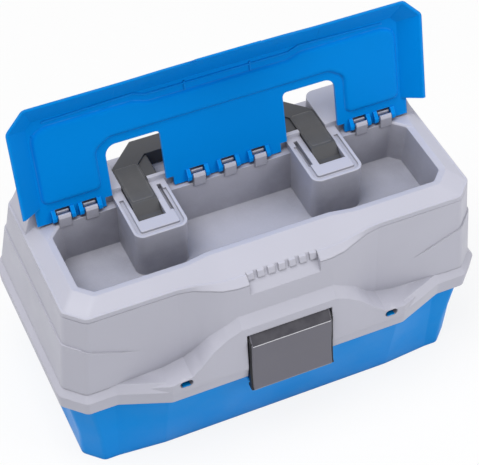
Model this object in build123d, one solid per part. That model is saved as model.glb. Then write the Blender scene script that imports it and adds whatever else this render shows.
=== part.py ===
"""Tackle box: a tub with a hinged main lid, a flip top over the lid's compartment, and a cantilever tray.

Millimetres. The origin is the centre of the tub's underside on the floor, +X runs along the length,
+Y to the back and +Z up. The flip top stands open and everything else is closed.
"""
import os
from dataclasses import dataclass, replace
from math import cos, pi, radians, sqrt, tan

from build123d import *

# Case outline
base_length = 304.0
base_depth = 152.0
corner_cut = 13.0
edge_round = 6.0
wall = 2.5
fit_gap = 0.3
pin_gap = 0.08

# Tub
base_height = 78.0
floor_thickness = 3.0
kink_height = 28.0
kink_flare = 1.5
rim_flare_end = 9.5
rim_flare_front = 4.0
front_bow = 3.0
swell = 14.0
swell_margin = 24.0
swell_run = 36.0
catch_drop = 14.0
catch_height = 3.0
catch_reach = 5.6
pivot_boss_radius = 6.0

# Main lid
skirt_drop = 8.0
skirt_gap = 1.5
flange_height = 12.0
flange_lean = 1.0
flange_cap = 6.0
lid_wall_height = 83.0
lid_lean_end = 5.6
lid_lean_front = 2.6
lid_back_lean = 19.0
lid_swell_low = 12.0
lid_swell_high = 2.8
lid_swell_inner = 36.0
lid_swell_outer = 77.0
ledge_swell = 8.4
ledge_dip = 5.5
head_dip = 4.5
wave_steps = 4
groove_step = 1.6
groove_width = 1.4
groove_drop = 4.0
groove_depth = 0.7
bevel_height = 5.8
deck_rise = 14.0
deck_inset = 6.0
deck_back_inset = 5.5
deck_corner_round = 8.0
hip_foot_gap = 10.0
# Share of the hip's run, how far its crest stands back from the flange, and the rise of its crest and top
hip_stations = (
    (0.0, 4.5, 39.5, 48.5),
    (0.13, 5.0, 34.0, 42.0),
    (0.26, 4.5, 26.5, 33.0),
    (0.385, 2.5, 17.5, 20.5),
    (0.485, 0.5, 12.5, 14.5),
    (0.68, 0.5, 10.0, 11.0),
)
cheek_proud = 1.1
cheek_height = 43.0
cheek_fall = 21.0
cheek_reach = 54.0
cheek_taper = 5.5
seat_half = 27.0
seat_drop = 9.0
seat_rise = 7.5
seat_depth = 5.0
seat_lean = 0.45
bump_count = 7
bump_pitch = 8.0
bump_width = 5.2
bump_height = 2.2
bump_length = 6.0
bump_foot = 1.5
padlock_inset = 11.0
padlock_width = 10.0
padlock_height = 6.0
padlock_rise = 8.0

# Compartment in the main lid
opening_end_margin = 13.0
opening_front_margin = 16.5
opening_back_margin = 3.0
opening_corner = 9.0
opening_step = 3.0
opening_wave_inner = 47.0
opening_wave_outer = 64.0
lip_width = 5.0
lip_drop = 1.2
lip_bite = 0.3
compartment_depth = 33.0
compartment_draft = 2.5
tower_inner_side = 12.3
tower_outer_side = 8.3
tower_nose = 16.0
tower_rise = 4.9
tower_round = 7.0
tower_lip = 2.2
tower_ring = 3.2
tower_ring_depth = 1.5
rib_groove_width = 3.0
rib_groove_length = 27.0
rib_groove_depth = 5.0

# Handle
handle_end_room = 144.6
arm_width = 19.4
arm_thickness = 12.5
handle_overhang = 4.5
handle_sink = 1.0
crossbar_width = 16.0
handle_corner = 22.0
handle_inner_corner = 8.0
handle_pivot_y = -8.0
handle_pivot_drop = 1.5
handle_knuckle = 7.5
handle_gap = 0.5
handle_root = 6.0
panel_margin = 3.2
panel_sink = 0.8
recess_front = 21.0
handle_pin_radius = 2.0
handle_pin_inner = 3.0
handle_pin_outer = 2.0

# Flip top
flip_open_angle = 104.7
flip_axis_y = 11.0
flip_axis_rise = 4.2
flip_overhang = 3.0
flip_thickness = 2.2
flip_rim_height = 12.0
flip_rim_inset = 13.5
flip_corner = 14.0
flip_rim_back = 0.0
flip_tail = 3.0
flip_edge_gap = 4.0
flip_tail_gap = 6.0
flip_side_overhang = 0.8
flip_foot_drop = 10.0
flip_foot_swell = 5.8
flip_foot_thin = 0.5
flip_knee_rise = 4.0
flip_knee_drop = 8.7
flip_knee_swell = 5.0
flip_tab_half = 24.0
flip_tab_drop = 9.5
flip_tab_flare = 5.3
flip_tab_root = 1.2
emboss_height = 1.2
emboss_side = 5.2
emboss_front = 8.6
emboss_step = 3.5
emboss_hinge = 13.5
emboss_corner = 11.0
emboss_border = 8.4
window_gap = 0.6
window_round = 8.0
window_inner_round = 3.5
clip_end_gap = 13.0
clip_end_pitch = 20.0
clip_width = 9.0
clip_gap = 1.0
clip_lug = 3.0
clip_slot = 2.6
clip_bar_radius = 1.8
clip_radius = 3.9
clip_shoulder = 1.6
clip_crown = 2.6
clip_mouth = 2.8

# Latch
latch_half_width = 32.6
latch_gap = 0.7
latch_reach = 16.0
latch_rise = 26.0
latch_barrel = 4.0
latch_face = 6.5
latch_dish = 0.8
latch_head = 4.5
latch_bevel = 0.5
latch_lip_drop = 2.5
latch_lip_reach = 7.0
latch_lip_height = 4.0
latch_lip_lean = 1.5
latch_bead_height = 3.0
latch_web = 2.0
latch_pin_radius = 1.6
latch_ear = 3.4
pocket_depth = 8.0
pocket_rise = 7.0

# Rear hinges
hinge_back = 6.0
hinge_rise = 1.0
hinge_radius = 4.5
hinge_relief = 1.0
hinge_web = 18.0
hinge_pin_radius = 2.0
hinge_margin = 57.0
hinge_lug = 20.0
hinge_ear = 9.0
hinge_gap = 0.5

# Cantilever tray
tray_end_gap = 6.0
tray_front_gap = 10.0
tray_back_gap = 18.0
tray_height = 36.0
tray_sink = 2.0
tray_wall = 2.2
tray_corner = 8.0
divider_count = 4
divider_thickness = 1.6
divider_drop = 3.0
guide_rib = 2.0
crank_reach = 60.0
crank_rise = 25.0
link_lead = 4.0
link_pivot_drop = 18.0
link_width = 12.0
link_thickness = 2.5
link_side_gap = 1.5
rivet_radius = 2.5
rivet_head = 4.5
rivet_head_height = 1.2
guide_gap = 0.3


@dataclass(frozen=True)
class Level:
    """One horizontal outline: an octagon whose front may swell forward between two waves."""

    z: float
    half_length: float
    front: float
    back: float
    cut: float
    swell: float
    inner: float
    outer: float

    def face(self, radius):
        """Return the outline at its height as a face, with rounded corners where a radius is given."""
        side = self.half_length
        near = -self.front
        right = [
            (side - self.cut, near),
            (side, near + self.cut),
            (side, self.back - self.cut),
            (side - self.cut, self.back),
        ]
        if self.swell:
            right = [(self.inner, near - self.swell), (self.outer, near), *right]
        ring = right + [(-x, y) for x, y in reversed(right)]
        if radius:
            line = FilletPolyline(*ring, radius=radius, close=True)
        else:
            line = Polyline(*ring, close=True)
        return Plane.XY.offset(self.z) * make_face(line)

    def inset(self, amount, z=None):
        """Return the outline moved inward by an amount, at the same or another height."""
        return replace(
            self,
            z=self.z if z is None else z,
            half_length=self.half_length - amount,
            front=self.front - amount,
            back=self.back - amount,
            cut=self.cut - amount * (2 - sqrt(2)),
        )


def skin(levels, radius=0.0):
    """Return the solid whose straight sides run from outline to outline."""
    return loft([level.face(radius) for level in levels], ruled=True)


def between(low, high, z):
    """Return the outline at a height between two others."""
    share = (z - low.z) / (high.z - low.z)

    def mix(a, b):
        return a + (b - a) * share

    return Level(
        z,
        mix(low.half_length, high.half_length),
        mix(low.front, high.front),
        mix(low.back, high.back),
        mix(low.cut, high.cut),
        mix(low.swell, high.swell),
        mix(low.inner, high.inner),
        mix(low.outer, high.outer),
    )


def block(xs, ys, zs):
    """Return a box between two values on each axis."""
    size = (xs[1] - xs[0], ys[1] - ys[0], zs[1] - zs[0])
    middle = ((xs[0] + xs[1]) / 2, (ys[0] + ys[1]) / 2, (zs[0] + zs[1]) / 2)
    return Pos(*middle) * Box(*size)


def section(points, x):
    """Return a YZ outline as a face at one place along the length."""
    return Plane.YZ.offset(x) * make_face(Polyline(*points, close=True))


def prism(points, xs):
    """Return the YZ outline drawn out along X."""
    return extrude(section(points, xs[0]), xs[1] - xs[0])


def rod(radius, y, z, xs):
    """Return a round bar along X."""
    return extrude(Plane.YZ.offset(xs[0]) * Pos(y, z) * Circle(radius), xs[1] - xs[0])


def both(shape):
    """Return a shape with its mirror image on the other end of the box."""
    return shape + mirror(shape, Plane.YZ)


def save(name, shape):
    """Write one piece."""
    export_step(shape, f"parts/{name}.step")


# Heights and places that follow from the driving sizes
half_length = base_length / 2
half_depth = base_depth / 2
full_width = (-base_length, base_length)
swell_outer = half_length - swell_margin
swell_inner = swell_outer - swell_run
skirt_bottom = base_height - skirt_drop
flange_top = skirt_bottom + flange_height
lid_low = flange_top + flange_cap
groove_z = base_height + lid_wall_height
ledge_z = groove_z - groove_drop
bevel_top = groove_z + bevel_height
deck_z = groove_z + deck_rise
above = deck_z + 2 * wall
opening_half_length = half_length - opening_end_margin
opening_front = half_depth - opening_front_margin
opening_back = flip_axis_y - opening_back_margin
front_back_y = opening_step + wall - opening_front
compartment_floor = bevel_top - compartment_depth
tower_top = bevel_top + tower_rise
flip_axis_z = bevel_top + flip_axis_rise
flip_top = flip_axis_z + flip_overhang
hinge_y = half_depth + rim_flare_front + hinge_back
hinge_z = base_height + hinge_rise
hinge_x = half_length - hinge_margin
arm_outer = (base_length - handle_end_room) / 2
arm_inner = arm_outer - arm_width
handle_top = deck_z - handle_sink
handle_bottom = handle_top - arm_thickness
handle_pivot_z = handle_bottom - handle_pivot_drop
trough_z = handle_bottom - handle_gap
slot_floor = handle_pivot_z - handle_knuckle - handle_gap
slot_front = handle_pivot_y - handle_knuckle - handle_gap
trough_inner = arm_inner - handle_gap
trough_outer = arm_outer + handle_gap
knuckle_back = handle_pivot_y + handle_knuckle
slot_back = knuckle_back + handle_root + handle_gap
tower_inner = arm_inner - tower_inner_side
tower_outer = arm_outer + tower_outer_side
tower_front = slot_front - tower_nose
rib_x = (tower_inner + trough_inner) / 2
handle_pin_xs = (tower_inner + handle_pin_inner, tower_outer - handle_pin_outer)
clip_end = opening_half_length - clip_end_gap
clip_places = (tower_inner / 2, clip_end - clip_end_pitch, clip_end)
clip_positions = [0.0] + [side * x for x in clip_places for side in (-1, 1)]
latch_pivot_y = -(half_depth + latch_reach)
latch_pivot_z = base_height + latch_rise
latch_pin_end = latch_half_width + latch_gap + latch_ear
catch_z = base_height - catch_drop
padlock_x = swell_inner - padlock_inset
padlock_z = base_height + padlock_rise
stop_y = flip_axis_y + flip_overhang + fit_gap

tray_half_length = half_length - tray_end_gap
tray_front = half_depth - tray_front_gap
tray_back = half_depth - tray_back_gap
tray_bottom = base_height - tray_sink
divider_pitch = 2 * tray_half_length / (divider_count + 1)
divider_positions = [(n + 1) * divider_pitch - tray_half_length for n in range(divider_count)]
tray_pin_y = hinge_y - crank_reach
tray_pin_z = hinge_z + crank_rise
link_pivot_y = tray_pin_y + link_lead
link_pivot_z = base_height - link_pivot_drop
guide_pin_y = link_pivot_y - crank_reach
guide_pin_z = link_pivot_z + crank_rise
link_in = tray_half_length + link_side_gap
link_out = link_in + link_thickness

# Outlines of the tub
foot = Level(0, half_length, half_depth, half_depth, corner_cut, front_bow, swell_inner, swell_outer)
rim = Level(
    base_height,
    half_length + rim_flare_end,
    half_depth + rim_flare_front,
    half_depth + rim_flare_front,
    corner_cut,
    swell,
    swell_inner,
    swell_outer,
)
straight_kink = between(foot, rim, kink_height)
kink = replace(straight_kink, half_length=half_length + kink_flare, front=half_depth + kink_flare)
catch_face = between(kink, rim, catch_z)
catch_y = -(catch_face.front + catch_face.swell)

# Outlines of the main lid
skirt = rim.inset(-skirt_gap - wall, skirt_bottom)
flange = skirt.inset(-flange_lean, flange_top)
lid_foot = replace(
    rim.inset(0.0, lid_low), swell=lid_swell_low, inner=lid_swell_inner, outer=lid_swell_outer
)
lid_head = replace(
    lid_foot,
    z=groove_z,
    half_length=lid_foot.half_length - lid_lean_end,
    front=lid_foot.front - lid_lean_front,
    back=lid_foot.back - lid_back_lean,
    swell=lid_swell_high,
)
ledge_front = between(lid_foot, lid_head, ledge_z).front
deck_back = lid_head.back - deck_back_inset
handle_back = deck_back + handle_overhang
opening = Level(
    bevel_top - lip_drop,
    opening_half_length,
    opening_front,
    opening_back,
    opening_corner,
    -opening_step,
    opening_wave_inner,
    opening_wave_outer,
)
lip = replace(opening.inset(-lip_width, bevel_top), back=opening_back)

# Seat of the thumb tab, in the middle of the wavy front
middle_ledge_y = -(ledge_front + ledge_swell)
middle_ledge_z = ledge_z - ledge_dip
middle_foot_y = -(lid_foot.front + lid_swell_low)
seat_foot_z = middle_ledge_z - seat_drop
seat_foot_share = (seat_foot_z - lid_low) / (middle_ledge_z - lid_low)
seat_foot_y = middle_foot_y + (middle_ledge_y - middle_foot_y) * seat_foot_share
seat_low_z = seat_foot_z + seat_rise
seat_low_y = middle_ledge_y + seat_depth

# Outlines of the closed flip top
flip_low = replace(
    lid_head,
    z=flip_top - flip_rim_height,
    half_length=lid_head.half_length + flip_side_overhang,
    front=lid_head.front + flip_overhang + flip_thickness,
    back=half_depth,
    cut=flip_corner,
    swell=0.0,
)
flip_high = flip_low.inset(flip_rim_inset, flip_top)
flip_under = flip_top - flip_thickness
flip_foot_y = -(flip_low.front + flip_foot_swell)
flip_foot_z = flip_low.z - flip_foot_drop


def wave_share(x):
    """Return the share of the front's wave at a place, from 0 at its ends to 1 in the middle."""
    turn = (lid_swell_outer - abs(x)) / (lid_swell_outer - lid_swell_inner)
    return (1 - cos(pi * min(max(turn, 0.0), 1.0))) / 2


def wave_places():
    """Return the places along the wavy front, from left to right, with the share of the wave at each."""
    step = (lid_swell_outer - lid_swell_inner) / wave_steps
    places = [lid_swell_outer + wall] + [lid_swell_outer - step * n for n in range(wave_steps + 1)]
    return [(x, wave_share(x)) for x in [-x for x in places] + places[::-1]]


def make_tub():
    """Return the tub with its catch rib, hinge lugs and link bosses."""
    inside = [
        foot.inset(wall, floor_thickness),
        kink.inset(wall),
        rim.inset(wall, base_height + fit_gap),
    ]
    tub = skin([foot, kink, rim], edge_round) - skin(inside)
    # Catch rib under the latch
    tub += block(
        (-latch_half_width, latch_half_width),
        (catch_y - catch_reach, catch_y + wall / 2),
        (catch_z - catch_height / 2, catch_z + catch_height / 2),
    )
    # Lugs of the rear hinges
    wall_y = rim.back - wall / 2
    lug_xs = (hinge_x - hinge_lug / 2, hinge_x + hinge_lug / 2)
    web = [
        (wall_y, hinge_z - hinge_web),
        (hinge_y + hinge_radius * 0.6, hinge_z - hinge_radius * 0.8),
        (hinge_y, hinge_z),
        (wall_y, base_height),
    ]
    lug = prism(web, lug_xs) + rod(hinge_radius, hinge_y, hinge_z, lug_xs)
    lug -= rod(hinge_pin_radius, hinge_y, hinge_z, lug_xs)
    tub += both(lug)
    # Bosses of the tray links
    boss_end = between(kink, rim, link_pivot_z).half_length - wall / 2
    boss = rod(pivot_boss_radius, link_pivot_y, link_pivot_z, (link_out + link_side_gap, boss_end))
    boss -= rod(rivet_radius, link_pivot_y, link_pivot_z, (link_out, boss_end - wall))
    return tub + both(boss)


def tower_block(margin, low, high):
    """Return the right tower, grown by a margin, with round front corners."""
    tower = block(
        (tower_inner - margin, tower_outer + margin), (tower_front - margin, recess_front), (low, high)
    )
    corners = tower.edges().filter_by(Axis.Z).sort_by(Axis.Y)[:2]
    return fillet(corners, tower_round + margin)


def compartment_space():
    """Return the open space of the top compartment, with the towers left standing."""
    levels = [
        opening.inset(compartment_draft, compartment_floor),
        opening,
        lip,
        replace(lip, z=above),
    ]
    space = skin(levels, edge_round - wall)
    return space - both(tower_block(0.0, compartment_floor - wall, above + wall))


def handle_space(margin, flare):
    """Return the handle's slots and recess, grown by a margin, with flared mouths at the back."""
    rear = lid_foot.back + wall
    arm_xs = (trough_inner - margin, trough_outer + margin)
    slot = block(arm_xs, (slot_front - margin, slot_back + margin), (slot_floor - margin, above))
    slot += block(arm_xs, (slot_front - margin, rear), (trough_z - margin, above))
    side = trough_outer + margin
    mouth = deck_back - flare
    bend = flare * (1 - sqrt(0.5))
    outline = [
        Line((0, recess_front - margin), (side, recess_front - margin)),
        Line((side, recess_front - margin), (side, mouth)),
        ThreePointArc((side, mouth), (side + bend, mouth + flare - bend), (side + flare, deck_back)),
        Line((side + flare, deck_back), (side + flare, rear)),
        Line((side + flare, rear), (0, rear)),
        Line((0, rear), (0, recess_front - margin)),
    ]
    recess = extrude(Plane.XY.offset(trough_z - margin) * make_face(outline), above - trough_z + margin)
    return both(slot + recess)


def latch_pocket(margin):
    """Return the space that the latch sits in, grown by a margin."""
    half = latch_half_width + latch_gap + margin
    back = latch_pivot_y + pocket_depth + margin
    front = -(skirt.front + 2 * skirt.swell)
    top = latch_pivot_z + pocket_rise + margin
    return block((-half, half), (front, back), (base_height + fit_gap, top))


def hip_section(x, front, crest_y, crest_z, top_z):
    """Return one upright section of the hip: its front edge, its crest and the slope up to the wall."""
    low = base_height + fit_gap
    share = wave_share(x)
    foot_y = lid_foot.front + lid_swell_low * share
    line_y = ledge_front + ledge_swell * share
    climb = (top_z - lid_low) / (ledge_z - ledge_dip * share - lid_low)
    points = [
        (-opening_front, low),
        (front, low),
        (front, flange_top),
        (crest_y, crest_z),
        (lip_bite - foot_y - (line_y - foot_y) * climb, top_z),
        (-opening_front, top_z),
    ]
    return section(points, x)


def make_hip():
    """Return the raised hip that climbs from the flange to both sides of the latch."""
    front = -(skirt.front + skirt.swell + flange_lean)
    end = swell_outer - hip_foot_gap
    foot_y = -(skirt.front + flange_lean)
    right = [(end, foot_y, foot_y + fit_gap, flange_top + fit_gap, lid_low)]
    for run, back, crest, top in reversed(hip_stations):
        x = latch_pin_end + (end - latch_pin_end) * run
        right.append((x, front, front + back, base_height + crest, base_height + top))
    left = [(-x, *shape) for x, *shape in right]
    return loft([hip_section(*shape) for shape in left + right[::-1]], ruled=True)


def front_section(x, share):
    """Return one upright section of the wavy front, from its flat part (0) to its middle (1)."""
    line_y = -(ledge_front + ledge_swell * share)
    line_z = ledge_z - ledge_dip * share
    head_y = -(lid_head.front + lid_swell_high * share)
    head_z = groove_z - head_dip * share
    step = (opening_wave_outer - abs(x)) / (opening_wave_outer - opening_wave_inner)
    step_share = min(max(step, 0.0), 1.0)
    points = [
        (front_back_y, lid_low),
        (-(lid_foot.front + lid_swell_low * share), lid_low),
        (line_y, line_z - groove_width / 2),
        (line_y + groove_depth, line_z),
        (line_y, line_z + groove_width / 2),
        (head_y, head_z),
        (head_y + groove_step, head_z),
        (lip_bite - lip.front + opening_step * step_share, bevel_top),
        (front_back_y, bevel_top),
    ]
    return section(points, x)


def make_cheeks():
    """Return the proud lower band of the end walls, which dies out along the front."""
    low = replace(lid_foot, swell=0.0)
    top = replace(between(lid_foot, lid_head, lid_low + cheek_height), swell=0.0)
    band = skin([low.inset(-cheek_proud), top.inset(-cheek_proud)], edge_round)
    end = half_length - cheek_reach
    corner = lid_foot.half_length + corner_cut
    rear = lid_foot.back + corner_cut
    keep = [(end, -top.front), (corner, -top.front - cheek_taper), (corner, rear), (end, rear)]
    plan = make_face(Polyline(*keep, close=True))
    wedge = extrude(Plane.XY.offset(base_height) * plan, lid_wall_height)
    # The band's top falls from the corners towards the middle
    fall = [(end, top.z - cheek_fall), (end, top.z), (low.half_length - corner_cut, top.z)]
    wedge -= extrude(Plane.XZ * make_face(Polyline(*fall, close=True)), base_depth, both=True)
    return band & both(wedge)


def seat_y(z):
    """Return how far forward the thumb tab's seat is at a height."""
    return seat_low_y + (z - seat_low_z) * seat_lean


def seat_space(margin):
    """Return the scooped seat of the thumb tab, grown to the back by a margin."""
    near = -base_depth
    points = [
        (near, seat_foot_z - margin),
        (seat_foot_y + margin, seat_foot_z - margin),
        (seat_low_y + margin, seat_low_z - margin),
        (seat_y(bevel_top) + margin, bevel_top),
        (near, bevel_top),
    ]
    return prism(points, (-seat_half - margin, seat_half + margin))


def make_bumps():
    """Return the row of grip bumps on the thumb tab's seat."""
    low = seat_low_z + bump_foot
    high = low + bump_length
    outline = [
        (seat_y(low) + bump_height, low),
        (seat_y(low) - bump_height / 2, low),
        (seat_y(high) - bump_height, high - bump_height / 2),
        (seat_y(high) + bump_height, high),
    ]
    bumps = Part()
    for index in range(bump_count):
        x = (index - (bump_count - 1) / 2) * bump_pitch
        bumps += prism(outline, (x - bump_width / 2, x + bump_width / 2))
    return bumps


def lid_form():
    """Return the main lid's outer form, still solid inside."""
    cap = replace(lid_foot, swell=swell, inner=swell_inner, outer=swell_outer)
    form = skin([skirt, flange, cap], edge_round)
    low = replace(lid_foot, swell=0.0)
    high = replace(lid_head, swell=0.0)
    groove_levels = [
        between(low, high, ledge_z - groove_width / 2),
        between(low, high, ledge_z).inset(groove_depth),
        between(low, high, ledge_z + groove_width / 2),
    ]
    form += skin([low.inset(0.0, base_height), low, *groove_levels, high], edge_round)
    bevel_end = replace(opening.inset(lip_bite - lip_width, bevel_top), swell=0.0)
    form += skin([high.inset(groove_step), bevel_end], edge_round)
    # The front swells and dips in a soft wave
    form -= block((-lid_swell_outer, lid_swell_outer), (-base_depth, front_back_y), (lid_low, above))
    form += loft([front_section(x, share) for x, share in wave_places()], ruled=True)
    form += make_hip()
    form += make_cheeks()
    form -= seat_space(0.0)
    form += make_bumps()
    # Towers with a sunk ring in the top
    form += both(tower_block(0.0, compartment_floor - wall, tower_top))
    ring = tower_block(-tower_lip, tower_top - tower_ring_depth, above)
    ring -= tower_block(-tower_lip - tower_ring, tower_top - tower_ring_depth, above)
    ring -= block((0, base_length), (opening_back, base_depth), (0, above))
    form -= both(ring)
    # Rear deck, whose front edge is the open flip top's stop
    deck_foot = replace(high.inset(groove_step), back=lid_head.back)
    deck_head = replace(high.inset(groove_step + deck_inset, deck_z), back=deck_back)
    deck = skin([deck_foot, deck_head], edge_round)
    stop_lean = tan(radians(flip_open_angle - 90.0))
    stop = [
        (-base_depth, groove_z),
        (stop_y, groove_z),
        (stop_y + stop_lean * (above - groove_z), above),
        (-base_depth, above),
    ]
    return form + (deck - prism(stop, full_width))


def lid_cavity():
    """Return the room inside the main lid, round the compartment, the recess and the latch pocket."""
    low_room = skin([skirt.inset(wall, skirt_bottom - wall), skirt.inset(wall, base_height + fit_gap)])
    roof = lid_head.inset(wall, ledge_z - wall)
    room = skin([lid_foot.inset(wall, base_height), lid_foot.inset(wall), roof])
    deck_low = replace(lid_head.inset(groove_step + wall, roof.z - wall), back=lid_head.back - wall)
    deck_high = replace(
        lid_head.inset(groove_step + deck_inset + wall, deck_z - wall), back=deck_back - wall
    )
    deck_room = skin([deck_low, deck_high])
    room += deck_room - block(full_width, (-base_depth, recess_front), (0, above))
    room -= skin([opening.inset(compartment_draft - wall, compartment_floor - wall), opening.inset(-wall)])
    room -= handle_space(wall, deck_corner_round)
    room -= latch_pocket(latch_ear)
    room -= seat_space(wall)
    tower_room = block(
        (tower_inner + wall, tower_outer - wall),
        (tower_front + wall, opening_back),
        (compartment_floor - 2 * wall, slot_floor - wall),
    )
    return low_room + room + both(tower_room)


def make_lid():
    """Return the main lid without its hinges."""
    lid = lid_form() - lid_cavity()
    lid -= compartment_space()
    lid -= handle_space(0.0, deck_corner_round)
    # Long grooves in the ribs beside the handle's arms
    groove_xs = (rib_x - rib_groove_width / 2, rib_x + rib_groove_width / 2)
    groove_ys = (slot_front + tower_lip, slot_front + tower_lip + rib_groove_length)
    lid -= both(block(groove_xs, groove_ys, (tower_top - rib_groove_depth, above)))
    # Latch pocket, open below, and its pin hole
    pocket_half = latch_half_width + latch_gap
    pocket_mouth = (skirt_bottom - wall, base_height + wall)
    lid -= latch_pocket(0.0)
    lid -= block((-pocket_half, pocket_half), (-base_depth, -lid_foot.front), pocket_mouth)
    lid -= rod(latch_pin_radius, latch_pivot_y, latch_pivot_z, (-latch_pin_end, latch_pin_end))
    # Padlock slots through the flange
    slot = SlotOverall(padlock_width, padlock_height)
    for x in (-padlock_x, padlock_x):
        inside = Plane((x, 2 * wall - lid_foot.front, padlock_z), (1, 0, 0), (0, -1, 0))
        lid -= extrude(inside * slot, base_depth)
    # The back edge stays above the tub's rim so that the lid can swing
    back_edge = rim.back - corner_cut - rim_flare_front
    return lid - block(full_width, (back_edge, base_depth), (0, hinge_z + fit_gap))


def make_clip(x):
    """Return one snap clip that holds the flip top's bar."""
    xs = (x - clip_width / 2, x + clip_width / 2)
    y, z = flip_axis_y, flip_axis_z
    outline = [
        (y - clip_radius, bevel_top - wall),
        (y + clip_radius, bevel_top - wall),
        (y + clip_radius, z + clip_shoulder),
        (y + clip_crown, z + clip_radius),
        (y - clip_crown, z + clip_radius),
        (y - clip_radius, z + clip_shoulder),
    ]
    clip = prism(outline, xs) - rod(clip_bar_radius + pin_gap, y, z, xs)
    return clip - block(xs, (y - clip_mouth / 2, y + clip_mouth / 2), (z, above))


def add_hinges(lid):
    """Return the main lid with its rear hinge ears, flip clips, tray bosses and pin holes."""
    # Rear hinge ears on both sides of the tub's lugs
    gap_low = hinge_x - hinge_lug / 2 - hinge_gap
    gap_high = hinge_x + hinge_lug / 2 + hinge_gap
    relief = hinge_radius + hinge_relief
    lid -= both(block((gap_low, gap_high), (hinge_y - relief, base_depth), (0, hinge_z + relief)))
    web = [
        (hinge_y, hinge_z),
        (hinge_y + hinge_radius * 0.8, hinge_z + hinge_radius * 0.6),
        (lid_foot.back - wall / 2, lid_low + hinge_radius),
        (lid_foot.back - wall / 2, hinge_z + fit_gap),
    ]
    for low, high in ((gap_low - hinge_ear, gap_low), (gap_high, gap_high + hinge_ear)):
        ear = prism(web, (low, high)) + rod(hinge_radius, hinge_y, hinge_z, (low, high))
        lid += both(ear)
        lid -= both(rod(hinge_pin_radius + pin_gap, hinge_y, hinge_z, (low, high)))
    for x in clip_positions:
        lid += make_clip(x)
    # Handle pin holes and tray bosses
    lid -= both(rod(handle_pin_radius, handle_pivot_y, handle_pivot_z, handle_pin_xs))
    boss_end = between(lid_foot, lid_head, tray_pin_z).half_length - wall / 2
    boss = rod(pivot_boss_radius, tray_pin_y, tray_pin_z, (tray_half_length + link_side_gap, boss_end))
    boss -= rod(rivet_radius, tray_pin_y, tray_pin_z, (tray_half_length, boss_end - wall))
    return lid + both(boss)


def flip_section(x, share):
    """Return one upright section of the closed flip top's front rim, which dips in the middle."""
    plate_y = -flip_high.front
    knee_slope = flip_rim_inset / flip_rim_height
    knee_y = flip_knee_rise * knee_slope - flip_low.front - flip_knee_swell * share
    knee_z = flip_low.z + flip_knee_rise - flip_knee_drop * share
    rim_y = -(flip_low.front + flip_foot_swell * share)
    rim_z = flip_low.z - flip_foot_drop * share
    points = [
        (plate_y, flip_top),
        (knee_y, knee_z),
        (rim_y, rim_z),
        (rim_y + flip_thickness - flip_foot_thin * share, rim_z),
        (knee_y + flip_thickness + fit_gap, knee_z - fit_gap),
        (plate_y + flip_thickness, flip_under),
        (plate_y + 3 * flip_thickness, flip_under),
        (plate_y + 3 * flip_thickness, flip_top),
    ]
    return section(points, x)


def make_emboss():
    """Return the outline of the flip top's embossed panel, which runs round both windows."""
    side = flip_high.half_length - emboss_side
    front = emboss_front - flip_high.front
    hinge_line = flip_axis_y - emboss_hinge
    outer = tower_outer + emboss_border
    inner_line = tower_front - emboss_border + fit_gap
    right = [
        (tower_outer - emboss_step, inner_line),
        (outer, inner_line + 2 * emboss_step),
        (outer, hinge_line),
        (side, hinge_line),
        (side, front + emboss_step),
        (side - emboss_corner, front),
        (opening_wave_outer, front),
        (opening_wave_outer - emboss_corner, front + emboss_step),
    ]
    left = [(-x, y) for x, y in reversed(right)]
    return make_face(Polyline(*right, *left, close=True))


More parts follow.
